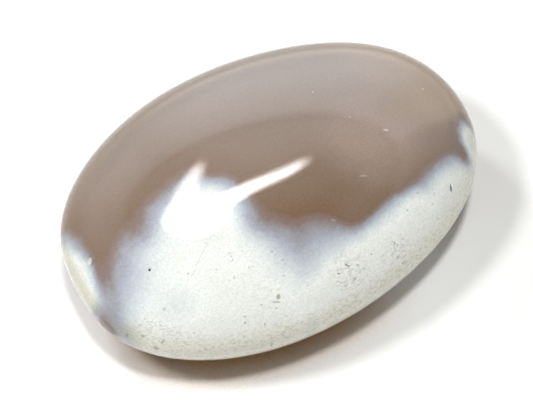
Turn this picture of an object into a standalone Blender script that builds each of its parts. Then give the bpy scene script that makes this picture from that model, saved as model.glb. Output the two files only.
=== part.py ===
"""Orca agate palm stone: one polished pebble of banded chalcedony, worn and ground to an oval cushion.

Frame: metres, +X along the stone's long axis towards its fuller end, +Z up.
The origin is at the bottom, under the middle of the stone's bounding box.
"""

import math

import bmesh
import bpy

# Size of the stone
HALF_LENGTH = 0.0325
WIDTH_RATIO = 0.703
TOP_RISE = 0.0126
BOTTOM_DROP = 0.0126
FOOT_CUT = 0.0002

# Character of the oval seen from above
PLAN_POWER = 2.13
END_TAPER = 0.178
PLAN_SKEW = 0.0545
THREE_LOBED = 0.0587

# Character of the cushion seen from the side
SIDE_POWER = 2.4
CROWN_POWER = 1.9

# Fineness of the faceted surface
AROUND = 96
CROWN_RINGS = 18
UNDERSIDE_RINGS = 16

# Look of the stone as one plain material
STONE_COLOUR = (0.335, 0.290, 0.250, 1.0)
STONE_ROUGHNESS = 0.12


def signed_power(value, power):
    """Power of a number that keeps the number's sign."""
    return math.copysign(abs(value) ** power, value)


def plan_point(turn, reach):
    """Point of the stone's plan at one turn angle, where reach runs from 0 at the pole to 1 at the girdle."""
    along = signed_power(math.cos(turn), 2.0 / PLAN_POWER)
    across = signed_power(math.sin(turn), 2.0 / PLAN_POWER)
    bearing = math.atan2(across, along)
    lobe = 1.0 + THREE_LOBED * math.cos(3.0 * bearing)
    x_part = reach * along * lobe
    y_part = reach * across * lobe * WIDTH_RATIO
    y_part = y_part * (1.0 + END_TAPER * x_part)
    x_part = x_part + PLAN_SKEW * y_part
    return HALF_LENGTH * x_part, HALF_LENGTH * y_part


def girdle_middle():
    """Middle of the plan's bounding box, so that the finished stone can be centred over the origin."""
    rim = [plan_point(2.0 * math.pi * step / AROUND, 1.0) for step in range(AROUND)]
    x_values = [point[0] for point in rim]
    y_values = [point[1] for point in rim]
    return (min(x_values) + max(x_values)) / 2.0, (min(y_values) + max(y_values)) / 2.0


def ring_levels():
    """Reach and height of each ring, from just below the pole down to the rim of the resting flat."""
    levels = []
    for step in range(1, CROWN_RINGS + 1):
        slope = 0.5 * math.pi * step / CROWN_RINGS
        reach = math.sin(slope) ** (2.0 / SIDE_POWER)
        # The cosine of a quarter turn is a rounding error away from zero, so it is held at zero.
        height = TOP_RISE * max(0.0, math.cos(slope)) ** (2.0 / CROWN_POWER)
        levels.append((reach, height))
    foot_share = (BOTTOM_DROP - FOOT_CUT) / BOTTOM_DROP
    foot_slope = math.acos(foot_share ** (CROWN_POWER / 2.0))
    for step in range(1, UNDERSIDE_RINGS + 1):
        slope = 0.5 * math.pi + (foot_slope - 0.5 * math.pi) * step / UNDERSIDE_RINGS
        reach = math.sin(slope) ** (2.0 / SIDE_POWER)
        height = -BOTTOM_DROP * math.cos(slope) ** (2.0 / CROWN_POWER)
        levels.append((reach, height))
    return levels


def stone_mesh():
    """One closed skin: a fan at the pole, rings down over the girdle, and a small flat at the bottom."""
    mesh = bmesh.new()
    middle_x, middle_y = girdle_middle()
    lift = BOTTOM_DROP - FOOT_CUT
    pole = mesh.verts.new((-middle_x, -middle_y, TOP_RISE + lift))
    rings = []
    for reach, height in ring_levels():
        ring = []
        for step in range(AROUND):
            x, y = plan_point(2.0 * math.pi * step / AROUND, reach)
            ring.append(mesh.verts.new((x - middle_x, y - middle_y, height + lift)))
        rings.append(ring)
    for step in range(AROUND):
        mesh.faces.new((pole, rings[0][step], rings[0][(step + 1) % AROUND]))
    for upper, lower in zip(rings, rings[1:]):
        for step in range(AROUND):
            after = (step + 1) % AROUND
            mesh.faces.new((upper[step], lower[step], lower[after]))
            mesh.faces.new((upper[step], lower[after], upper[after]))
    mesh.faces.new(list(reversed(rings[-1])))
    return mesh


def stone_material():
    """Glossy taupe chalcedony, as one even colour."""
    material = bpy.data.materials.new("agate")
    material.use_nodes = True
    shader = material.node_tree.nodes["Principled BSDF"]
    shader.inputs["Base Color"].default_value = STONE_COLOUR
    shader.inputs["Roughness"].default_value = STONE_ROUGHNESS
    shader.inputs["Metallic"].default_value = 0.0
    material.diffuse_color = STONE_COLOUR
    return material


def build():
    """Clear the scene and place the stone."""
    for item in list(bpy.data.objects):
        bpy.data.objects.remove(item, do_unlink=True)
    mesh = stone_mesh()
    data = bpy.data.meshes.new("palm_stone")
    mesh.to_mesh(data)
    mesh.free()
    data.materials.append(stone_material())
    for face in data.polygons:
        face.use_smooth = len(face.vertices) == 3
    stone = bpy.data.objects.new("palm_stone", data)
    bpy.context.scene.collection.objects.link(stone)


build()
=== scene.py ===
# %% [markdown]
# # An orca agate palm stone
#
# The object is one pebble of banded chalcedony, ground to an oval cushion and polished until it shines.
# Most of it is taupe and slightly see-through. Along one side the stone turns opaque white, and a thin
# lavender-grey fringe lies between the two, where the white is thinly buried.
#
# The lesson has five steps: the form, the small natural faults, the finish, the table and the light,
# and the camera. The solid model gives the size, and everything here is fitted to it.

# %% Load the solid model
import math

import bmesh
import bpy
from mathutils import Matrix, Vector
from mathutils.bvhtree import BVHTree
from mathutils.interpolate import poly_3d_calc


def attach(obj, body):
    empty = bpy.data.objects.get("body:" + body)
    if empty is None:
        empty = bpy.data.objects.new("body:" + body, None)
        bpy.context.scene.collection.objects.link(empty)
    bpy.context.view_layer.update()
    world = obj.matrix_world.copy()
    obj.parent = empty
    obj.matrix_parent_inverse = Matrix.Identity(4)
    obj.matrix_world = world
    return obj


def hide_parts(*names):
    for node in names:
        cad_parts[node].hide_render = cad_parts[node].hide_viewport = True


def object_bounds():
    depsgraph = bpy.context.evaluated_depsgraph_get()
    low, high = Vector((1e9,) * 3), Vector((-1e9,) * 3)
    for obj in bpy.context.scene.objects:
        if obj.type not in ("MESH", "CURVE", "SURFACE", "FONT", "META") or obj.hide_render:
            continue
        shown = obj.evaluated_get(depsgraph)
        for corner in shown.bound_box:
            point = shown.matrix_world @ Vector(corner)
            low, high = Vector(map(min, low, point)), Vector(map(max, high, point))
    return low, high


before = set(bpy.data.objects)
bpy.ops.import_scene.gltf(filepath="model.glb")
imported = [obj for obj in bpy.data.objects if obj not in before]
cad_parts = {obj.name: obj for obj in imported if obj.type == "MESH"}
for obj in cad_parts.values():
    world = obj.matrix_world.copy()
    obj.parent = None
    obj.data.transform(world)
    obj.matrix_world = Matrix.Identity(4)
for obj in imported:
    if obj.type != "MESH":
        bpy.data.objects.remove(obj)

solid_low, solid_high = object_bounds()
MM = 0.001
stone_size = solid_high - solid_low
print("solid stone, mm:", [round(side / MM, 2) for side in stone_size])

# %% [markdown]
# ## Writing node trees as sums
#
# A form or a finish that follows a rule needs many small nodes. Placing them one by one hides the rule,
# so a small class wraps a socket and answers to plus, minus, times and the rest. An expression then
# reads like the rule itself and leaves its nodes behind. One method adds any other kind of node.
# The same two classes serve the form, which is a geometry tree, and the finish, which is a shader tree.

# %% A socket that can be added, multiplied and compared
class Wire:
    """One output socket of a node tree, for use in expressions."""

    def __init__(self, bench, socket):
        self.bench = bench
        self.socket = socket

    def is_vector(self):
        """True for a place or a colour, which both carry three numbers."""
        return self.socket.type in ("VECTOR", "RGBA")

    def math(self, operation, *others):
        """A Math node, or a Vector Math node where this wire carries a vector."""
        kind = "ShaderNodeVectorMath" if self.is_vector() else "ShaderNodeMath"
        places = {0: self}
        places.update({1 + place: other for place, other in enumerate(others)})
        return self.bench.add(kind, {"operation": operation}, places)

    def __add__(self, other):
        return self.math("ADD", other)

    __radd__ = __add__

    def __sub__(self, other):
        return self.math("SUBTRACT", other)

    def __rsub__(self, other):
        return self.bench.add("ShaderNodeMath", {"operation": "SUBTRACT"}, {0: other, 1: self})

    def __mul__(self, other):
        if self.is_vector() and isinstance(other, (int, float)):
            return self.bench.add("ShaderNodeVectorMath", {"operation": "SCALE"}, {0: self, "Scale": other})
        return self.math("MULTIPLY", other)

    __rmul__ = __mul__

    def __truediv__(self, other):
        return self.math("DIVIDE", other)

    def __rtruediv__(self, other):
        return self.bench.add("ShaderNodeMath", {"operation": "DIVIDE"}, {0: other, 1: self})

    def __pow__(self, power):
        return self.math("POWER", power)

    def __abs__(self):
        return self.math("ABSOLUTE")

    def signed_power(self, power):
        """A power that keeps the sign."""
        return self.math("SIGN") * abs(self) ** power

    def soft_min(self, other, rounding):
        """The smaller of two values, with the corner between them rounded."""
        return self.math("SMOOTH_MIN", other, rounding)


class Bench:
    """Adds nodes to one tree."""

    def __init__(self, tree):
        self.tree = tree

    def add(self, kind, settings=None, sockets=None, out=0):
        """One node of any kind. Settings are set first, then each socket gets its value or its link."""
        node = self.tree.nodes.new(kind)
        for name, value in (settings or {}).items():
            setattr(node, name, value)
        for place, value in (sockets or {}).items():
            if isinstance(value, Wire):
                self.tree.links.new(value.socket, node.inputs[place])
            else:
                node.inputs[place].default_value = value
        return Wire(self, node.outputs[out]) if node.outputs else node

    def split(self, vector):
        """The three parts of a vector."""
        first = self.add("ShaderNodeSeparateXYZ", sockets={0: vector})
        outputs = first.socket.node.outputs
        return [Wire(self, outputs[place]) for place in range(3)]

    def join(self, x, y, z):
        """A vector from three parts."""
        return self.add("ShaderNodeCombineXYZ", sockets={0: x, 1: y, 2: z})

    def between(self, value, low, high):
        """0 below low, 1 above high, and a smooth rise between them. Low may be the larger of the two."""
        settings = {"interpolation_type": "SMOOTHSTEP"}
        return self.add("ShaderNodeMapRange", settings, {"Value": value, "From Min": low, "From Max": high})

    def colour(self, below, above, factor):
        """The first colour where factor is 0 and the second where it is 1."""
        settings = {"data_type": "RGBA", "clamp_factor": True}
        return self.add("ShaderNodeMix", settings, {0: factor, 6: below, 7: above}, out=2)

    def ramp(self, value, stops):
        """A colour ramp over the first to the last stop. Each stop is a value and its colour."""
        first, last = stops[0][0], stops[-1][0]
        share = self.add("ShaderNodeMapRange", sockets={"Value": value, "From Min": first, "From Max": last})
        wire = self.add("ShaderNodeValToRGB", sockets={0: share})
        points = wire.socket.node.color_ramp.elements
        while len(points) < len(stops):
            points.new(0.5)
        for point, (place, colour) in zip(points, stops):
            point.position = (place - first) / (last - first)
            point.color = tuple(colour) + (1.0,)
        return wire

    def length(self, vector):
        """The length of a vector."""
        return self.add("ShaderNodeVectorMath", {"operation": "LENGTH"}, {0: vector}, out=1)

    def cloud(self, place, scale, detail=2.0, roughness=0.5, out=0):
        """Smooth noise, 0.5 on average."""
        sockets = {"Vector": place, "Scale": scale, "Detail": detail, "Roughness": roughness}
        return self.add("ShaderNodeTexNoise", {"noise_dimensions": "3D"}, sockets, out=out)

    def output(self, kind, wires):
        """An output node with its links."""
        node = self.tree.nodes.new(kind)
        for place, wire in wires.items():
            self.tree.links.new(wire.socket, node.inputs[place])
        return node


print("the bench is ready")

# %% [markdown]
# ## The form
#
# A palm stone starts as a sawn slab. It is ground round on a wheel and tumbled, so every outline is a
# soft oval: a little squarer than an ellipse from above, and flatter than an ellipse on its crown. One
# end came out fuller and the other blunt, as each stone does in the hand.
#
# The form could be sculpted, or shaped by hand from a sphere with a subdivision modifier. Here it
# follows a rule, so Geometry Nodes build it: they take an even ball of small triangles and send each
# point to its place on the cushion. The inputs are named for what a grinder would change.

# %% The cushion as a tree
FORM = {
    "Half Length": 32.5 * MM,
    "Width Ratio": 0.703,
    "Top Rise": 12.6 * MM,
    "Bottom Drop": 12.6 * MM,
    "Foot Cut": 0.2 * MM,
    "Plan Power": 2.13,
    "End Taper": 0.178,
    "Plan Skew": 0.0545,
    "Three Lobed": 0.0587,
    "Side Power": 2.4,
    "Crown Power": 1.9,
    "Girdle Reach": 0.998,
    "Girdle Rounding": 0.004,
}
BALL_SUBDIVISIONS = 7


def grow_form_tree(middle_x, middle_y):
    """The tree that turns a ball into the cushion. The middle is what centres it over the origin."""
    tree = bpy.data.node_groups.new("palm stone form", "GeometryNodeTree")
    bench = Bench(tree)
    tree.interface.new_socket("Geometry", in_out="OUTPUT", socket_type="NodeSocketGeometry")
    names = dict(FORM, **{"Middle X": middle_x, "Middle Y": middle_y})
    for name, value in names.items():
        socket = tree.interface.new_socket(name, in_out="INPUT", socket_type="NodeSocketFloat")
        socket.default_value = value
    tree.interface.new_socket("Stone", in_out="INPUT", socket_type="NodeSocketMaterial")
    entry = tree.nodes.new("NodeGroupInput")
    size = {name: Wire(bench, entry.outputs[name]) for name in names}

    ball = bench.add("GeometryNodeMeshIcoSphere", sockets={"Radius": 1.0, "Subdivisions": BALL_SUBDIVISIONS})
    x, y, z = bench.split(bench.add("GeometryNodeInputPosition"))
    off_axis = (x * x + y * y).math("SQRT").math("MAXIMUM", 1e-5)
    along = (x / off_axis).signed_power(2.0 / size["Plan Power"])
    across = (y / off_axis).signed_power(2.0 / size["Plan Power"])
    bearing = across.math("ARCTAN2", along)
    lobe = 1.0 + size["Three Lobed"] * (3.0 * bearing).math("COSINE")
    reach = off_axis ** (2.0 / size["Side Power"])
    reach = reach.soft_min(size["Girdle Reach"], size["Girdle Rounding"])
    plan_x = reach * along * lobe
    plan_y = reach * across * lobe * size["Width Ratio"]
    plan_y = plan_y * (1.0 + size["End Taper"] * plan_x)
    plan_x = plan_x + size["Plan Skew"] * plan_y
    level = z.signed_power(2.0 / size["Crown Power"])
    upper = level.math("MAXIMUM", 0.0) * size["Top Rise"]
    lower = level.math("MINIMUM", 0.0) * size["Bottom Drop"]
    foot = size["Bottom Drop"] - size["Foot Cut"]
    height = (upper + lower).math("MAXIMUM", -1.0 * foot) + foot
    place = bench.join(
        plan_x * size["Half Length"] - size["Middle X"],
        plan_y * size["Half Length"] - size["Middle Y"],
        height,
    )
    cushion = bench.add("GeometryNodeSetPosition", sockets={"Geometry": ball, "Position": place})
    smooth = bench.add("GeometryNodeSetShadeSmooth", sockets={"Geometry": cushion})
    real = bench.add("GeometryNodeRealizeInstances", sockets={"Geometry": smooth})
    stone = Wire(bench, entry.outputs["Stone"])
    dressed = bench.add("GeometryNodeSetMaterial", sockets={"Geometry": real, "Material": stone})
    bench.output("NodeGroupOutput", {"Geometry": dressed})
    return tree


print("the form has", len(FORM), "named sizes and powers")

# %% [markdown]
# The skew and the fuller end push the oval a little to one side of its own axes. The solid model puts
# the origin under the middle of the stone's box, so the same middle is measured here on the outline.

# %% The middle of the outline
def outline_point(turn):
    """One point of the outline seen from above, as shares of the half length."""
    power = 2.0 / FORM["Plan Power"]
    along = math.copysign(abs(math.cos(turn)) ** power, math.cos(turn))
    across = math.copysign(abs(math.sin(turn)) ** power, math.sin(turn))
    lobe = 1.0 + FORM["Three Lobed"] * math.cos(3.0 * math.atan2(across, along))
    y = across * lobe * FORM["Width Ratio"] * (1.0 + FORM["End Taper"] * along * lobe)
    return along * lobe + FORM["Plan Skew"] * y, y


OUTLINE_STEPS = 96
outline = [outline_point(2.0 * math.pi * step / OUTLINE_STEPS) for step in range(OUTLINE_STEPS)]
middle = [
    FORM["Half Length"] * (min(values) + max(values)) / 2.0
    for values in ([point[0] for point in outline], [point[1] for point in outline])
]
print("middle of the outline, mm:", [round(value / MM, 2) for value in middle])

# %% Turn the tree's result into a plain mesh
finish = bpy.data.materials.new("polished agate")
form_tree = grow_form_tree(*middle)
grower = bpy.data.objects.new("form", bpy.data.meshes.new("form"))
bpy.context.scene.collection.objects.link(grower)
modifier = grower.modifiers.new("form", "NODES")
modifier.node_group = form_tree
for item in form_tree.interface.items_tree:
    if item.in_out == "INPUT" and item.name == "Stone":
        modifier[item.identifier] = finish
view = bpy.context.evaluated_depsgraph_get()
stone_mesh = bpy.data.meshes.new_from_object(grower.evaluated_get(view))
stone_mesh.name = "agate"
bpy.data.objects.remove(grower, do_unlink=True)
print("cushion:", len(stone_mesh.vertices), "points,", len(stone_mesh.polygons), "faces")

# %% [markdown]
# ## Small natural faults
#
# Polishing opens the little hollows that the rock already had. This stone shows a black pinhole, a short
# open slit near the fuller end, a shallow chip at the blunt end, and two places where a harder grain
# stands a hair proud of the polish. They are real dents and bumps, so they catch the light from any side.
#
# They could be a bump texture alone, but a hole without depth looks painted. So the mesh is made finer
# round each fault and its points are pushed in along the surface's own direction.

# %% Find a place on the skin from above
def crown_point(mesh, x_mm, y_mm):
    """The point of the upper surface above a place on the plan, and the direction it faces."""
    corners = [vert.co.copy() for vert in mesh.verts]
    tree = BVHTree.FromPolygons(corners, [[vert.index for vert in face.verts] for face in mesh.faces])
    start = Vector((x_mm * MM, y_mm * MM, 2.0 * stone_size.z))
    place, outward, _, _ = tree.ray_cast(start, Vector((0.0, 0.0, -1.0)))
    return place, outward


print("ready to find places on the skin")

# %% Push a small oval in or out
FAULTS = {
    # name: (x, y on the plan, half length, half width, turn in degrees, depth), all in mm but the turn
    "pinhole": (-24.24, -7.44, 0.20, 0.18, 0.0, 0.30),
    "slit": (20.82, -14.98, 0.50, 0.15, 62.0, 0.30),
    "chip": (-29.90, 0.10, 0.75, 0.42, 60.0, 0.14),
    "chip heel": (-29.60, -0.75, 0.38, 0.24, 30.0, 0.10),
    "harder grain": (8.56, -10.28, 0.55, 0.22, -10.0, -0.05),
    "second grain": (1.29, -14.11, 0.32, 0.18, 0.0, -0.04),
    "open dash": (0.34, -19.57, 0.32, 0.11, -25.0, 0.12),
    "olive pit": (-10.50, -19.16, 0.26, 0.22, 0.0, 0.08),
}
EDGE_GROWTH = 2.2
FINER_ROUNDS = 2

faults = bmesh.new()
faults.from_mesh(stone_mesh)
for name, (x_mm, y_mm, half_long, half_wide, turn, depth) in FAULTS.items():
    place, outward = crown_point(faults, x_mm, y_mm)
    reach = EDGE_GROWTH * half_long * MM
    for _ in range(FINER_ROUNDS):
        near = {edge for vert in faults.verts if (vert.co - place).length < reach for edge in vert.link_edges}
        bmesh.ops.subdivide_edges(faults, edges=list(near), cuts=1, use_grid_fill=True)
    bmesh.ops.triangulate(faults, faces=[face for face in faults.faces if len(face.verts) > 3])
    faults.verts.ensure_lookup_table()
    faults.verts.index_update()
    angle = math.radians(turn)
    long_way = Vector((math.cos(angle), math.sin(angle), 0.0))
    long_way = (long_way - outward * long_way.dot(outward)).normalized()
    short_way = outward.cross(long_way)
    moved = 0
    for vert in faults.verts:
        apart = vert.co - place
        if apart.length > reach:
            continue
        share = math.hypot(apart.dot(long_way) / (half_long * MM), apart.dot(short_way) / (half_wide * MM))
        if share < 1.5:
            vert.co -= outward * depth * MM / (1.0 + (share / 0.75) ** 4)
            moved += 1
    print(name, "moved", moved, "points")
bmesh.ops.recalc_face_normals(faults, faces=list(faults.faces))
faults.to_mesh(stone_mesh)
faults.free()
stone_mesh.shade_smooth()
stone = bpy.data.objects.new("agate", stone_mesh)
bpy.context.scene.collection.objects.link(stone)
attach(stone, "root")
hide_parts("palm_stone")
print("stone:", len(stone_mesh.polygons), "faces")

# %% [markdown]
# ## The finish: where the white lies
#
# Agate grows in the hollow of a lava bubble, in bulging layers that follow the rock under them. The
# white layer of this stone is a row of such bulges, and the polish cuts through them. A picture would
# only cover one side, so the finish is worked out in the solid instead: each bulge is a soft ball with a
# place and a size, and a point's distance to the nearest one says how deep it lies in the white.

# %% The bulges of the white layer
# Each is named, with its middle and its three half sizes in mm in the stone's own frame.
WHITE_BULGES = {
    "great bulge": ((-14.0, -6.2, 17.0), (7.7, 10.0, 14.0)),
    "lower bulge": ((-16.0, -11.5, 14.0), (15.9, 17.1, 12.0)),
    "middle bulge": ((-2.0, -26.6, 16.0), (7.4, 15.9, 12.0)),
    "fuller side": ((10.3, -20.3, 14.0), (24.0, 6.2, 13.0)),
    "fuller end": ((18.8, -18.5, 12.0), (11.8, 10.8, 9.5)),
    "blunt end": ((-32.2, 1.4, 12.0), (3.0, 7.7, 10.0)),
    "end fleck": ((30.5, -11.2, 20.6), (4.9, 5.9, 7.6)),
}
print("white bulges:", len(WHITE_BULGES))

# %% [markdown]
# Between the bulges the layer swells or thins, as the crust under it did. Where the white lies deeper,
# the taupe over it looks smoky, and where it swells it comes up to the skin.

# %% Where the layer swells or thins
SWELLS = {
    # name: (middle in mm, reach in mm, how much deeper the white lies in mm, below zero where it rises)
    "smoky tongue": ((-2.0, -16.0, 21.5), 5.0, 2.1),
    "tongue tip": ((-2.5, -20.0, 20.5), 5.0, 2.5),
    "side notch": ((6.5, -14.5, 21.5), 5.5, 2.4),
    "side swell": ((8.0, -15.5, 20.0), 6.0, -2.0),
    "fuller swell": ((14.0, -17.0, 19.5), 4.5, -3.0),
    "corner swell": ((20.0, -16.0, 19.0), 4.5, -1.2),
    "end fringe": ((24.5, -15.0, 18.5), 6.5, -1.9),
    "end milk": ((29.5, -10.5, 16.0), 4.0, -3.2),
    "end rim": ((28.6, -8.6, 16.6), 3.2, -3.2),
    "end foot": ((29.6, -11.0, 12.8), 5.6, -4.0),
    "end gap": ((25.8, -11.2, 17.2), 2.5, 0.9),
    "crown hollow": ((-10.6, 0.0, 24.6), 3.9, 1.2),
    "crown smoke": ((-15.5, -1.0, 24.0), 5.5, 1.8),
    "crown milk": ((-19.0, -3.0, 23.0), 9.0, -1.1),
    "blunt rim": ((-22.0, -2.5, 22.5), 4.5, 1.1),
    "blunt fringe": ((-27.5, -10.0, 18.5), 9.0, 0.7),
    "blunt milk": ((-32.0, -0.6, 14.6), 4.8, -3.0),
    "blunt seam": ((-31.3, -5.0, 15.6), 3.7, -1.4),
    "grey cloud": ((-23.0, -16.0, 19.5), 7.0, 3.4),
    "middle smoke": ((-10.0, -12.0, 24.0), 9.0, 1.1),
    "middle milk": ((-11.0, -13.0, 23.0), 5.0, -1.4),
    "near milk": ((-3.5, -13.5, 23.0), 9.0, -1.1),
}
print("swells:", len(SWELLS))

# %% How deep a place lies
BULGE_ROUNDING = 2.2


def white_depth(bench, place):
    """How far a place is outside the white, in mm. It is below zero inside."""
    nearest = None
    for middle_mm, half_sizes in WHITE_BULGES.values():
        apart = place.math("SUBTRACT", Vector(middle_mm)).math("DIVIDE", Vector(half_sizes))
        share = bench.length(apart)
        distance = share * (share - 1.0) / bench.length(apart.math("DIVIDE", Vector(half_sizes)))
        nearest = distance if nearest is None else nearest.soft_min(distance, BULGE_ROUNDING)
    for middle_mm, reach, deeper in SWELLS.values():
        apart = bench.length(place.math("SUBTRACT", Vector(middle_mm)))
        nearest = nearest + deeper * bench.between(apart, reach, 0.0)
    return nearest


print("corners between bulges rounded over, mm:", BULGE_ROUNDING)

# %% [markdown]
# The colours come in steps outwards from the white: chalk white, a bluish white, the lavender fringe,
# the edge of the taupe, and the deep taupe. A ramp over the depth holds them. A slow cloud shifts the
# depth a little, so that no edge runs even, and a finer one breaks it up at the scale of the crystal fibres.

# %% The colours of the layers
# Colour at each depth in mm, from inside the white outwards.
LAYERS = [
    (-5.0, (0.672, 0.682, 0.656)),
    (-3.6, (0.698, 0.713, 0.692)),
    (-2.6, (0.618, 0.646, 0.638)),
    (-1.7, (0.486, 0.523, 0.547)),
    (-0.9, (0.342, 0.358, 0.412)),
    (-0.2, (0.258, 0.250, 0.266)),
    (0.3, (0.199, 0.146, 0.127)),
    (1.0, (0.173, 0.104, 0.060)),
    (4.0, (0.180, 0.115, 0.072)),
]
PALE_TAUPE = (0.270, 0.192, 0.146)
HONEY = (0.283, 0.182, 0.091)
# Painted shade: the white is darker and yellower towards its lower edge, which faces the shaded table.
LOW_EDGE_SHADE = (0.90, 0.875, 0.80)
# Painted reflection: darker streaks of the shaded table along the belt's lines.
BELT_TINT = (0.78, 0.76, 0.63)
SOOT = (0.030, 0.022, 0.014)
BROWN = (0.120, 0.090, 0.065)
OLIVE = (0.310, 0.285, 0.185)
GREY = (0.330, 0.330, 0.310)
MILK = (0.600, 0.580, 0.550)


def tint(colour):
    """A colour socket's value, with its alpha."""
    return tuple(colour) + (1.0,)


print("layers:", len(LAYERS))

# %% [markdown]
# ## The finish: stains, specks and wear
#
# Old dirt has settled in the pits, and it is dark or olive. The chip and a few bruises under the skin are
# paler. A brown mark in the chip's heel is painted shadow, and the pale crescent on the harder grain is a
# painted highlight. The marks could be painted by hand on the skin. A list of small ovals, each with its own
# colour and turned as it lies, is easier to correct and stays in its place in the stone.

# %% Marks placed one by one
MARKS = {
    # name: (middle in mm, half sizes in mm, turn in degrees, colour, strength)
    "pinhole": ((-24.24, -7.44, 20.97), (0.24, 0.22, 1.0), 0.0, SOOT, 1.0),
    "slit": ((20.82, -14.98, 17.09), (0.52, 0.19, 1.2), 62.0, SOOT, 0.9),
    "open dash": ((0.34, -19.57, 19.05), (0.40, 0.12, 1.0), -40.0, BROWN, 0.8),
    "olive pit": ((-10.50, -19.16, 19.05), (0.36, 0.30, 1.0), 20.0, OLIVE, 0.8),
    "olive dash": ((-11.09, -19.50, 18.56), (0.80, 0.10, 1.0), -22.0, BROWN, 0.45),
    "scratch": ((-17.15, -9.79, 22.70), (2.60, 0.07, 2.0), 31.5, GREY, 0.45),
    "second scratch": ((-19.55, -11.40, 21.70), (0.80, 0.06, 1.0), 28.0, GREY, 0.35),
    "chip": ((-29.94, 0.01, 17.60), (0.55, 0.42, 1.0), 60.0, MILK, 0.7),
    # Painted shadow in the chip's heel, on its lower side.
    "painted chip shadow": ((-29.72, -0.62, 17.75), (0.42, 0.22, 1.0), 40.0, BROWN, 0.5),
    "bruise": ((15.63, -5.14, 23.22), (0.45, 0.20, 1.0), -25.0, MILK, 0.50),
    # Painted highlight: a paler spot on the harder grain's bump, where its upper side catches the light.
    "painted crescent highlight": ((8.56, -10.28, 23.23), (0.75, 0.20, 1.0), -18.0, MILK, 0.18),
    "grain": ((1.29, -14.11, 22.56), (0.42, 0.20, 1.0), -30.0, MILK, 0.16),
    "first dot": ((25.48, 0.05, 20.42), (0.20, 0.16, 0.6), 0.0, MILK, 0.5),
    "second dot": ((9.73, 5.33, 24.21), (0.14, 0.14, 0.6), 0.0, MILK, 0.4),
    "third dot": ((11.99, -1.18, 24.21), (0.18, 0.14, 0.6), 0.0, MILK, 0.35),
    "near dot": ((-16.00, -19.43, 17.00), (0.18, 0.16, 0.8), 0.0, BROWN, 0.40),
    "low dot": ((-13.50, -20.60, 16.29), (0.17, 0.15, 0.8), 0.0, BROWN, 0.40),
    "left dot": ((-24.95, -12.67, 18.56), (0.24, 0.20, 0.8), 0.0, BROWN, 0.35),
    "fringe dot": ((-24.90, -3.60, 21.09), (0.18, 0.18, 0.6), 0.0, GREY, 0.5),
    "second fringe dot": ((-21.84, -4.76, 22.29), (0.16, 0.16, 0.6), 0.0, GREY, 0.5),
    "middle dot": ((-14.98, -14.73, 21.38), (0.16, 0.14, 0.6), 0.0, BROWN, 0.4),
    "side dash": ((-1.28, -20.01, 18.71), (0.26, 0.10, 0.8), -20.0, BROWN, 0.70),
    "second side dash": ((0.70, -21.14, 17.14), (0.34, 0.09, 0.8), 15.0, OLIVE, 0.70),
    "third side dash": ((-0.84, -21.35, 16.95), (0.28, 0.09, 0.8), 20.0, BROWN, 0.40),
    "far side dash": ((2.58, -20.56, 17.67), (0.18, 0.10, 0.8), -60.0, BROWN, 0.50),
    "fuller dash": ((8.50, -19.28, 17.91), (0.20, 0.12, 0.8), -70.0, BROWN, 0.45),
    "middle dash": ((-12.51, -14.58, 21.93), (0.22, 0.07, 0.8), 60.0, BROWN, 0.55),
    "second middle dash": ((-12.03, -14.72, 21.93), (0.18, 0.06, 0.8), -10.0, BROWN, 0.40),
    "low side dash": ((-27.50, -14.51, 12.83), (0.50, 0.10, 0.8), -45.0, BROWN, 0.45),
    "second low dash": ((-26.55, -14.94, 14.44), (0.34, 0.10, 0.8), -5.0, BROWN, 0.55),
    "third low dash": ((-28.54, -12.83, 14.56), (0.34, 0.09, 0.8), -50.0, BROWN, 0.45),
    "fourth low dash": ((-30.17, -11.06, 13.62), (0.30, 0.09, 0.8), -35.0, BROWN, 0.45),
    "fifth low dash": ((-13.04, -21.76, 11.82), (0.30, 0.09, 0.8), -30.0, BROWN, 0.45),
    "end smudge": ((-31.65, -8.10, 12.55), (0.90, 2.00, 1.3), 20.0, BROWN, 0.9),
}
print("marks:", len(MARKS))


# %% Lay the marks over a colour
def add_marks(bench, place, colour):
    """Lays every placed mark over a colour."""
    for middle_mm, half_sizes, turn, stain, strength in MARKS.values():
        settings = {"vector_type": "TEXTURE"}
        sockets = {
            "Vector": place,
            "Location": middle_mm,
            "Rotation": (0.0, 0.0, math.radians(turn)),
            "Scale": half_sizes,
        }
        share = bench.length(bench.add("ShaderNodeMapping", settings, sockets))
        colour = bench.colour(colour, tint(stain), strength * bench.between(share, 1.15, 0.55))
    return colour


print("the marks are ready to lay")

# %% [markdown]
# The many small specks can't all be placed by hand. A cell pattern scatters them instead, and a mask says
# where they are dense: along the lower edge, where the stone was handled and set down, and in a few
# clusters. A stretched cloud adds olive smears in the same places.

# %% Scatter the specks
SPECKLED = {
    # name: (middle in mm, reach in mm, how dense)
    "side cluster": ((0.4, -20.0, 18.2), 3.6, 0.55),
    "fuller cluster": ((8.2, -20.2, 16.8), 3.4, 0.40),
    "blunt cluster": ((-27.0, -14.6, 14.2), 5.0, 0.60),
    "middle cluster": ((-12.0, -17.0, 20.5), 6.0, 0.04),
}
# Coarse and fine specks: cells to a millimetre, and strength.
SPECK_LAYERS = [(1.9, 0.70), (3.3, 0.50)]
SPECK_STRETCH = Vector((0.60, 1.0, 1.5))


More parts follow.
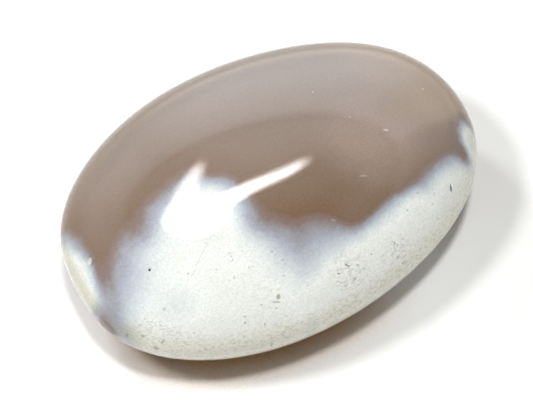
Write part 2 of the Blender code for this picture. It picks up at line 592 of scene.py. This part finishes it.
def add_specks(bench, place, depth, low, colour):
    """Scatters small dark specks and smears over the white, densest along the lower edge."""
    dense = 0.14 + 0.32 * low
    for middle_mm, reach, density in SPECKLED.values():
        apart = bench.length(place.math("SUBTRACT", Vector(middle_mm)))
        dense = dense + density * bench.between(apart, reach, 0.2 * reach)
    stretched = place.math("MULTIPLY", SPECK_STRETCH)
    smear = bench.cloud(stretched, 2.4, detail=4.0, roughness=0.7)
    smear = bench.between(smear, 0.50, 0.62) * bench.between(dense, 0.05, 0.40)
    on_white = bench.between(depth, -1.0, -2.2)
    colour = bench.colour(colour, tint(OLIVE), 0.45 * smear * on_white)
    for cells_per_mm, strength in SPECK_LAYERS:
        sockets = {"Vector": stretched, "Scale": cells_per_mm}
        cells = bench.add("ShaderNodeTexVoronoi", {"feature": "F1"}, sockets, out=0)
        draw = Wire(bench, cells.socket.node.outputs["Color"])
        chance, size, _ = bench.split(draw)
        chosen = bench.between(chance, dense + 0.02, dense - 0.02)
        speck = bench.between(cells, 0.12 + 0.26 * size * size, 0.05) * chosen
        colour = bench.colour(colour, tint(BROWN), strength * speck * on_white)
    return colour


print("speckled places:", len(SPECKLED))

# %% [markdown]
# The polish itself isn't perfect. Fine lines run along the belt round both ends, where the wheel turned,
# and the white there is painted a little darker in streaks along them: painted reflection of the shaded
# table in the belt. The skin also has a faint ripple. The lines and the ripple go into the bump. A cloud
# of wear makes the gloss uneven, and the lower edge shines less and is painted darker, as painted shade.
#
# Two lighter places lie in the taupe: a pale one near the crown and a honey one at the fuller end. The
# stone is very slightly floury all through, so a fine cloud changes its brightness from grain to grain.

# %% Mix the agate
PALE_MIDDLE, PALE_REACH = Vector((13.5, -6.0, 23.5)), 10.5
LINE_SPACING = 0.55
BELT_LEVEL = 14.0
BUMP_HEIGHT = 0.2 * MM
REFRACTION = 1.54
GLOW_DEPTH = 4.0 * MM


def mix_agate(material):
    """The whole finish of the stone, from its place in the stone alone."""
    material.use_nodes = True
    tree = material.node_tree
    tree.nodes.clear()
    bench = Bench(tree)
    place = bench.add("ShaderNodeTexCoord", out=3) * (1.0 / MM)
    x, y, z = bench.split(place)
    centre = Vector((0.5, 0.5, 0.5))
    slow = bench.cloud(place, 0.11, detail=1.0, out=1).math("SUBTRACT", centre)
    fine = bench.cloud(place, 0.9, detail=3.0, out=1).math("SUBTRACT", centre) * 0.7
    moved = place + slow + fine
    depth = white_depth(bench, moved)
    agate = bench.ramp(depth, LAYERS)

    in_taupe = bench.between(depth, 0.2, 2.0)
    mist = bench.cloud(place, 0.22, detail=3.0)
    pale = bench.between(bench.length(moved.math("SUBTRACT", PALE_MIDDLE)), PALE_REACH, 2.0)
    agate = bench.colour(agate, tint(PALE_TAUPE), in_taupe * pale * (0.55 + 0.6 * mist))
    honey = bench.between(x, 13.0, 28.0) * bench.between(y, -9.0, -3.0)
    agate = bench.colour(agate, tint(HONEY), in_taupe * honey * 0.8)

    low = bench.between(z, 16.8, 13.2)
    on_white = bench.between(depth, 0.0, -1.5)
    # Painted shade: towards the lower edge the white faces the shaded table, so it is painted darker and
    # yellower.
    shaded_low_edge = agate.math("MULTIPLY", Vector(LOW_EDGE_SHADE))
    agate = bench.colour(agate, shaded_low_edge, low * on_white)
    agate = add_specks(bench, place, depth, low * bench.between(y, -6.0, -10.0), agate)
    agate = add_marks(bench, place, agate)
    at_ends = bench.between(abs(x), 27.5, 30.0) * bench.between(abs(z - BELT_LEVEL), 1.8, 1.0)
    wheel = (z * (2.0 * math.pi / LINE_SPACING)).math("SINE")
    # Painted reflection: the belt round both ends is darkened in streaks along its lines, as the shaded table
    # mirrored there.
    belt_streak_shade = at_ends * on_white * (0.35 + 0.30 * bench.between(wheel, -0.6, 0.8))
    agate = bench.colour(agate, agate.math("MULTIPLY", Vector(BELT_TINT)), belt_streak_shade)
    flour = bench.cloud(place, 3.0, detail=4.0, roughness=0.8)
    agate = agate * (0.66 + 0.68 * flour)

    ripple = bench.cloud(place, 6.0, detail=2.0)
    height = ripple + 0.4 * wheel * at_ends
    bump = bench.add("ShaderNodeBump", sockets={"Strength": 0.025, "Distance": BUMP_HEIGHT, "Height": height})
    wear = bench.cloud(place, 0.8, detail=4.0)
    shader = bench.add(
        "ShaderNodeBsdfPrincipled",
        sockets={
            "Base Color": agate,
            "Roughness": 0.035 + 0.035 * wear + 0.05 * low,
            "Normal": bump,
            "IOR": REFRACTION,
            "Subsurface Weight": 0.5,
            "Subsurface Radius": (1.0, 0.8, 0.7),
            "Subsurface Scale": GLOW_DEPTH,
        },
    )
    bench.output("ShaderNodeOutputMaterial", {"Surface": shader})


mix_agate(finish)
print("agate finish:", len(finish.node_tree.nodes), "nodes")

# %% [markdown]
# ## The table and the light
#
# The stone lies on a plain white surface under soft light. The polish works as a mirror, so what stands
# round the stone matters as much as what lights it: the bright wall of a room behind it draws the pale
# veil over the far slope, and a bright opening overhead draws the forked highlight on the crown.
#
# Everything round the stone is placed by two angles, counted from the camera's side.

# %% Directions round the stone
CAMERA_AZIMUTH = -30.39
CAMERA_ELEVATION = 56.0


def towards(azimuth, elevation):
    """Direction from the stone, with azimuth 0 at the camera's side and 90 at its right."""
    turn, rise = math.radians(azimuth + CAMERA_AZIMUTH), math.radians(elevation)
    return Vector((math.sin(turn) * math.cos(rise), -math.cos(turn) * math.cos(rise), math.sin(rise)))


print("to the camera:", [round(part, 3) for part in towards(0.0, CAMERA_ELEVATION)])

# %% [markdown]
# A broad window behind the stone is the brightest thing in the room. It is brightest at middle height and
# ends at its top, and the wall above it and beside it is darker. The room could be built as a box with a
# window in it. It is only ever seen as a soft mirror image, so two short lists describe it instead: how
# bright it is at each height, and how bright it is as a way turns off from straight behind the stone.
#
# The polish meets the same room twice, in the surround and at the far end of the table, so these values
# and the two functions come first and both use them.

# %% The brightness of the room
ROOM_BRIGHTNESS = 4.4
# Share of the room's brightness at each height, in degrees above the table.
ROOM_LEVELS = [
    (0, 0.60), (6, 0.67), (12, 0.79), (20, 0.94), (32, 0.98), (40, 0.92),
    (44.5, 0.80), (47, 0.61), (56, 0.54), (64, 0.28), (85, 0.18),
]
WINDOW_TOP = 46.5
WINDOW_RIGHT, WINDOW_LEFT = 131.0, -99.0
BESIDE_WINDOW = 0.74
# Share of the brightness by how nearly a way points straight behind the stone, where 1 is exactly so.
WALL_SHARES = [(0.10, 0.40), (0.28, 0.43), (0.66, 0.66), (0.86, 0.68), (0.93, 0.86), (0.985, 1.0)]


def along(bench, way, azimuth):
    """How far a way reaches towards an azimuth on the plan."""
    settings = {"operation": "DOT_PRODUCT"}
    return bench.add("ShaderNodeVectorMath", settings, {0: way, 1: towards(azimuth, 0.0)}, out=1)


def facing(bench, way, span, azimuth):
    """How nearly a way points to an azimuth: 1 along it, 0 across it. The span is its length on the plan."""
    return along(bench, way, azimuth) / span


def wall_share(bench, way, span):
    """How bright the wall is that a way leads to, as a share of its brightest part."""
    stops = [(share, (bright, bright, bright)) for share, bright in WALL_SHARES]
    wall = bench.split(bench.ramp(facing(bench, way, span, 180.0), stops))[0]
    past_right = bench.between(facing(bench, way, span, WINDOW_RIGHT - 90.0), -0.02, 0.03)
    past_left = bench.between(facing(bench, way, span, WINDOW_LEFT + 90.0), -0.05, 0.10)
    return wall * (1.0 - (1.0 - BESIDE_WINDOW) * past_right.math("MAXIMUM", past_left))


print("room levels:", len(ROOM_LEVELS))

# %% [markdown]
# The table is plain matt white. It could be one flat colour, but two things show on it that a plain
# white plane leaves out. Close under the near side, where the ambient occlusion finds the stone near,
# the white is painted a darker warm brown: painted shadow, warm like light come through the taupe. Far
# out the polish sees the table at a low angle, where it runs into the wall behind it, so there it takes
# on the wall's own brightness.

# %% A pale table
TABLE_HALF = 1.5
TABLE_WHITE = (0.86, 0.86, 0.86, 1.0)
# Painted shadow: the warm dark brown that the table takes close under the stone.
TABLE_PAINTED_SHADOW = (0.46, 0.28, 0.14, 1.0)
UNDER_REACH = 16.0 * MM
FAR_FROM, FAR_TO = 45.0 * MM, 200.0 * MM

table_mesh = bpy.data.meshes.new("table")
table_signs = [(-1, -1), (1, -1), (1, 1), (-1, 1)]
table_corners = [(x * TABLE_HALF, y * TABLE_HALF, 0.0) for x, y in table_signs]
table_mesh.from_pydata(table_corners, [], [(0, 1, 2, 3)])
table = bpy.data.objects.new("table", table_mesh)
bpy.context.scene.collection.objects.link(table)
paint = bpy.data.materials.new("white table")
paint.use_nodes = True
paint.node_tree.nodes.clear()
paint_bench = Bench(paint.node_tree)
openness = paint_bench.add("ShaderNodeAmbientOcclusion", {"samples": 8}, {"Distance": UNDER_REACH}, out=1)
spot = paint_bench.add("ShaderNodeTexCoord", out=3)
spot_distance = paint_bench.length(spot).math("MAXIMUM", 1e-4)
near_side = facing(paint_bench, spot, spot_distance, 0.0)
# Painted shadow: where the stone is close over the table, most on the near side, the white turns warm dark
# brown.
painted_shadow = paint_bench.between(openness, 0.55, 0.37) * (0.1 + 0.9 * paint_bench.between(near_side, 0.3, 0.9))
table_tone = paint_bench.colour(TABLE_WHITE, TABLE_PAINTED_SHADOW, painted_shadow)
white = paint_bench.add("ShaderNodeBsdfDiffuse", sockets={"Color": table_tone})
foot = ROOM_BRIGHTNESS * ROOM_LEVELS[0][1] * wall_share(paint_bench, spot, spot_distance)
sheen = paint_bench.add("ShaderNodeEmission", sockets={"Color": paint_bench.join(foot, foot, foot)})
mirrored = paint_bench.add("ShaderNodeLightPath", out=3)
far = mirrored * paint_bench.between(spot_distance, FAR_FROM, FAR_TO)
both = paint_bench.add("ShaderNodeMixShader", sockets={0: far, 1: white, 2: sheen})
paint_bench.output("ShaderNodeOutputMaterial", {"Surface": both})
table_mesh.materials.append(paint)
print("table:", 2 * TABLE_HALF, "m across")

# %% [markdown]
# Three small round lamps light the scene. The one overhead is the strongest and gives the soft shadow
# under the near side. The one on the left throws the fainter shadow to the right, and the one at the
# window lights the far slope. None of them shows in the polish: what it mirrors is set further down.

# %% Lamps
def lamp(name, azimuth, elevation, distance, width, power, tone):
    """A round soft lamp that faces the stone. It lights, but the polish doesn't mirror it."""
    data = bpy.data.lights.new(name, "AREA")
    data.shape = "DISK"
    data.size = width
    data.energy = power
    data.color = tone
    light = bpy.data.objects.new(name, data)
    light.location = towards(azimuth, elevation) * distance
    light.rotation_euler = towards(azimuth, elevation).to_track_quat("Z", "Y").to_euler()
    light.visible_glossy = False
    light.visible_camera = False
    bpy.context.scene.collection.objects.link(light)
    return light


lamps = [
    lamp("overhead lamp", 8.0, 76.0, 0.60, 0.060, 1.95, (0.98, 1.0, 1.0)),
    lamp("left lamp", -68.0, 60.0, 0.40, 0.070, 0.78, (1.0, 1.0, 1.0)),
    lamp("window lamp", -132.0, 46.0, 0.40, 0.070, 0.44, (0.97, 1.0, 1.0)),
]
print("lamps:", [light.name for light in lamps])

# %% [markdown]
# The hook of light on the crown mirrors one bright opening above and behind the stone on the left, with
# two arms that taper away from a broad corner. A level card of that shape hangs over the table. Its shape
# could be guessed and corrected by eye. Here it is followed instead: a line of sight from the camera to
# each corner of the highlight meets the polish, turns there as a mirror turns it, and ends at the card.
#
# For that the camera's place has to be known. It stands about 30 cm away with a long lens, as fitting
# the stone's outline to the picture gave it.

# %% Lines of sight
IMAGE_WIDTH, IMAGE_HEIGHT = 533, 400
FOCAL_IN_PIXELS = 2052.06
CAMERA_AT = Vector((-86.343, -145.226, 260.943)) * MM


def sight(across, down):
    """Direction in which the camera sees a place in the picture, in pixels from its top left corner."""
    ahead, right = -towards(0.0, CAMERA_ELEVATION), towards(90.0, 0.0)
    aside = right * ((across - IMAGE_WIDTH / 2.0) / FOCAL_IN_PIXELS)
    above = right.cross(ahead) * ((IMAGE_HEIGHT / 2.0 - down) / FOCAL_IN_PIXELS)
    return (ahead + aside + above).normalized()


def mirrored_at(polish, across, down, height):
    """Where a line of sight, turned by the polish, reaches a level height."""
    way = sight(across, down)
    place, _, face, _ = polish.ray_cast(CAMERA_AT, way)
    corners = [stone_mesh.vertices[index] for index in stone_mesh.polygons[face].vertices]
    shares = poly_3d_calc([corner.co for corner in corners], place)
    outward = sum((corner.normal * share for corner, share in zip(corners, shares)), Vector())
    turned = way.reflect(outward.normalized())
    return place + turned * ((height - place.z) / turned.z)


print("camera, mm from the stone's foot:", round(CAMERA_AT.length / MM))

# %% [markdown]
# The card only shows in the polish: the three lamps do the lighting, so that each can be set on its own.

# %% The bright card
CARD_HEIGHT = 0.6
CARD_GLOW = 34.0
# The highlight's outline in the picture, in pixels: round its broad lower corner, along the right arm and
# back, then up the left arm and back.
HIGHLIGHT_OUTLINE = [
    (163, 222), (167, 229), (176, 236), (190, 241), (203, 241), (216, 234), (226, 216), (232, 203),
    (248, 194.3), (268, 183.7), (286, 176), (298, 169.3), (307, 161.5),
    (298, 163.5), (284, 169), (268, 175.3), (246, 183.5), (229, 192.5), (216, 199.5), (204, 203),
    (196, 202), (191.5, 192), (194, 183), (198.5, 173.5), (204, 162),
    (196, 168), (191, 175), (186.5, 183), (182, 191.5), (173, 205),
]
# The card's near part fades out. As shares of its height, the glow rises between two distances away from
# the camera, which grow to both sides of a middle.
FADE_FROM, FADE_TO = 0.05, 0.17
FADE_SLOPE, FADE_MIDDLE = 0.45, -0.20
CARD_TONE = (1.0, 0.98, 0.96, 1.0)
glow = bpy.data.materials.new("card glow")
glow.use_nodes = True
glow.node_tree.nodes.clear()
glow_bench = Bench(glow.node_tree)
spread = glow_bench.add("ShaderNodeTexCoord", out=3) * (1.0 / CARD_HEIGHT)
card_x = along(glow_bench, spread, 90.0)
card_y = along(glow_bench, spread, 180.0)
faded = glow_bench.between(card_y - FADE_SLOPE * abs(card_x - FADE_MIDDLE), FADE_FROM, FADE_TO)
card_colour = glow_bench.colour(tint((0.0, 0.0, 0.0)), CARD_TONE, faded)
shine = glow_bench.add("ShaderNodeEmission", sockets={"Color": card_colour, "Strength": CARD_GLOW})
glow_bench.output("ShaderNodeOutputMaterial", {"Surface": shine})
stone_faces = [tuple(face.vertices) for face in stone_mesh.polygons]
polish = BVHTree.FromPolygons([vert.co for vert in stone_mesh.vertices], stone_faces)
card_points = [mirrored_at(polish, across, down, CARD_HEIGHT) for across, down in HIGHLIGHT_OUTLINE]
card_mesh = bpy.data.meshes.new("bright card")
card_mesh.from_pydata(card_points, [], [tuple(range(len(card_points)))])
card_mesh.materials.append(glow)
card = bpy.data.objects.new("bright card", card_mesh)
bpy.context.scene.collection.objects.link(card)
card.visible_camera = False
card.visible_diffuse = False
card.visible_shadow = False
print("card size, m:", [round(side, 2) for side in card.dimensions])

# %% [markdown]
# The surround is the room as the polish sees it. It is brightest behind the stone up to the window's top,
# where a thin frame line crosses it, and the fall above draws the edge of the veil across the slope. For
# everything matt it is a soft fill instead: dim and a little warm all round, so that the shadow under the
# stone comes out warm, and brighter from the front right. The camera sees it as a plain pale ground.

# %% The surround
FILL = (0.108, 0.090, 0.074, 1.0)
FRONT_FILL = (0.66, 0.66, 0.63, 1.0)
FRONT_AZIMUTH = 42.0
FRAME_DARKER = 0.25
MIRRORED_TONE = (0.92, 1.0, 1.085, 1.0)
GROUND_TONE = (0.97, 0.97, 0.97, 1.0)

surround = bpy.data.worlds.new("room")
bpy.context.scene.world = surround
surround.use_nodes = True
surround.node_tree.nodes.clear()
room = Bench(surround.node_tree)
look = room.add("ShaderNodeTexCoord", out=0)
look_z = room.split(look)[2]
elevation = look_z.math("ARCSINE") * (180.0 / math.pi)
flat = (1.0 - look_z * look_z).math("MAXIMUM", 1e-4).math("SQRT")

level_stops = [(angle, (share, share, share)) for angle, share in ROOM_LEVELS]
level = room.split(room.ramp(elevation, level_stops))[0]
wall = wall_share(room, look, flat)
frame_line = room.between(abs(elevation - WINDOW_TOP), 1.5, 0.4)
veil = ROOM_BRIGHTNESS * level * wall * (1.0 - FRAME_DARKER * frame_line)
is_camera = room.add("ShaderNodeLightPath", out=0)
is_glossy = room.add("ShaderNodeLightPath", out=3)
strength = is_glossy * veil + (1.0 - is_glossy)
strength = is_camera + (1.0 - is_camera) * strength
front = room.between(facing(room, look, flat, FRONT_AZIMUTH), -0.1, 0.8)
front = front * room.between(look_z, 0.05, 0.35) * room.between(look_z, 0.95, 0.7)
tone = room.colour(room.colour(FILL, FRONT_FILL, front), MIRRORED_TONE, is_glossy)
tone = room.colour(tone, GROUND_TONE, is_camera)
sky = room.add("ShaderNodeBackground", sockets={"Color": tone, "Strength": strength})
room.output("ShaderNodeOutputWorld", {"Surface": sky})
bpy.context.scene.view_settings.view_transform = "Standard"
print("surround levels:", len(ROOM_LEVELS))

# %% [markdown]
# ## The camera
#
# The camera looks down steeply, as a hand-held one over a table does. Its place and its lens are the ones
# that the lines of sight above start from.

# %% Set the camera
camera_data = bpy.data.cameras.new("camera")
camera_data.sensor_width = 36.0
camera_data.lens = camera_data.sensor_width * FOCAL_IN_PIXELS / IMAGE_WIDTH
camera = bpy.data.objects.new("camera", camera_data)
camera.location = CAMERA_AT
camera.rotation_mode = "QUATERNION"
camera.rotation_quaternion = towards(0.0, CAMERA_ELEVATION).to_track_quat("Z", "Y")
camera_data.clip_start = 0.01
camera_data.clip_end = 10.0
bpy.context.scene.collection.objects.link(camera)
bpy.context.scene.camera = camera
print("lens, mm:", round(camera_data.lens, 1))
